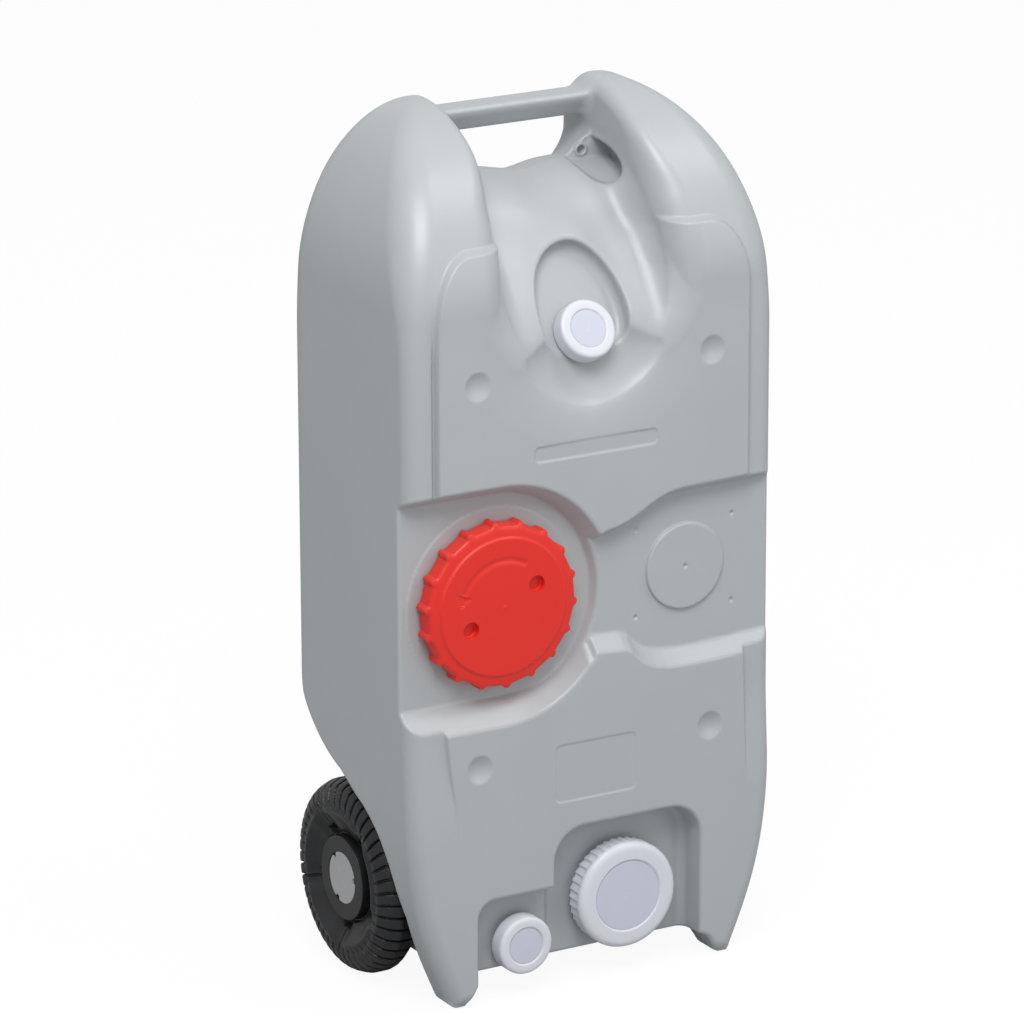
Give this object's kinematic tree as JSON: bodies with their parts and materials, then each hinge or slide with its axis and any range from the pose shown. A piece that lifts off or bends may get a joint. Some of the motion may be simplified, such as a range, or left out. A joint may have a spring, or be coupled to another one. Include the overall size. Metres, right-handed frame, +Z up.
{
  "type": "wheeled water bowser",
  "caption": "Tall moulded water tank that stands on two feet and two rear wheels, with a grip bar, a wide cleanout cap, a vent and two outlet caps.",
  "frame": {"origin": "on the floor, under the middle of the bounding box", "axes": "+X to the right seen from the front, where the caps are, +Y to the back, where the wheels are, +Z up"},
  "size_m": [0.375, 0.23, 0.8],
  "materials": {
    "tank": "fine moulded grain, light grey polyethylene",
    "cap_red": "satin red moulding",
    "cap_white": "satin white moulding",
    "disc": "satin pale grey moulding",
    "seal": "matte black",
    "steel": "zinc plated",
    "bush": "natural nylon",
    "wheel": "semi-gloss black moulding",
    "hub_cap": "grey moulding"
  },
  "bodies": {
    "tank": {"shell_front": "tank", "shell_back": "tank", "axle": "steel", "inner_washer_left": "steel", "outer_washer_left": "steel", "push_nut_left": "steel", "inner_washer_right": "steel", "outer_washer_right": "steel", "push_nut_right": "steel"},
    "wheel_left": {"wheel_left": "wheel", "outer_bush_left": "bush", "inner_bush_left": "bush", "hub_cap_left": "hub_cap"},
    "wheel_right": {"wheel_right": "wheel", "outer_bush_right": "bush", "inner_bush_right": "bush", "hub_cap_right": "hub_cap"},
    "cleanout_seal": {"cleanout_seal": "seal"},
    "cleanout_cap": {"cleanout_cap": "cap_red"},
    "vent_plug": {"vent_disc": "disc", "vent_seal": "seal"},
    "vent_ring": {"vent_ring": "cap_white"},
    "drain_plug": {"drain_disc": "disc", "drain_seal": "seal"},
    "drain_ring": {"drain_ring": "cap_white"},
    "spout_plug": {"spout_disc": "disc", "spout_seal": "seal"},
    "spout_ring": {"spout_ring": "cap_white"}
  },
  "joints": [
    {"name": "wheel_left_spin", "type": "hinge", "parent": "tank", "child": "wheel_left", "pos_m": [-0.165, 0.025, 0.09], "axis": [1, 0, 0], "continuous": true},
    {"name": "wheel_right_spin", "type": "hinge", "parent": "tank", "child": "wheel_right", "pos_m": [0.165, 0.025, 0.09], "axis": [1, 0, 0], "continuous": true},
    {"name": "cleanout_lift", "type": "slide", "parent": "tank", "child": "cleanout_seal", "axis": [0, -1, 0], "range_m": [0, 0.0151]},
    {"name": "cleanout_turn", "type": "hinge", "parent": "cleanout_seal", "child": "cleanout_cap", "pos_m": [-0.094, -0.115, 0.372], "axis": [0, -1, 0], "range_deg": [0, 900]},
    {"name": "vent_lift", "type": "slide", "parent": "tank", "child": "vent_plug", "axis": [0, -0.866, 0.5], "range_m": [0, 0.0091]},
    {"name": "vent_turn", "type": "hinge", "parent": "vent_plug", "child": "vent_ring", "pos_m": [0, -0.10135, 0.61], "axis": [0, -0.866, 0.5], "range_deg": [0, 810]},
    {"name": "drain_lift", "type": "slide", "parent": "tank", "child": "drain_plug", "axis": [0, -1, 0], "range_m": [0, 0.0151]},
    {"name": "drain_turn", "type": "hinge", "parent": "drain_plug", "child": "drain_ring", "pos_m": [0.034, -0.115, 0.077], "axis": [0, -1, 0], "range_deg": [0, 1080]},
    {"name": "spout_lift", "type": "slide", "parent": "tank", "child": "spout_plug", "axis": [0, -1, 0], "range_m": [0, 0.0091]},
    {"name": "spout_turn", "type": "hinge", "parent": "spout_plug", "child": "spout_ring", "pos_m": [-0.072, -0.115, 0.049], "axis": [0, -1, 0], "range_deg": [0, 810]}
  ],
  "couplings": [
    {"joint": "cleanout_lift", "follows": "cleanout_turn", "m_per_rad": 0.00095493},
    {"joint": "vent_lift", "follows": "vent_turn", "m_per_rad": 0.00063662},
    {"joint": "drain_lift", "follows": "drain_turn", "m_per_rad": 0.00079577},
    {"joint": "spout_lift", "follows": "spout_turn", "m_per_rad": 0.00063662}
  ]
}
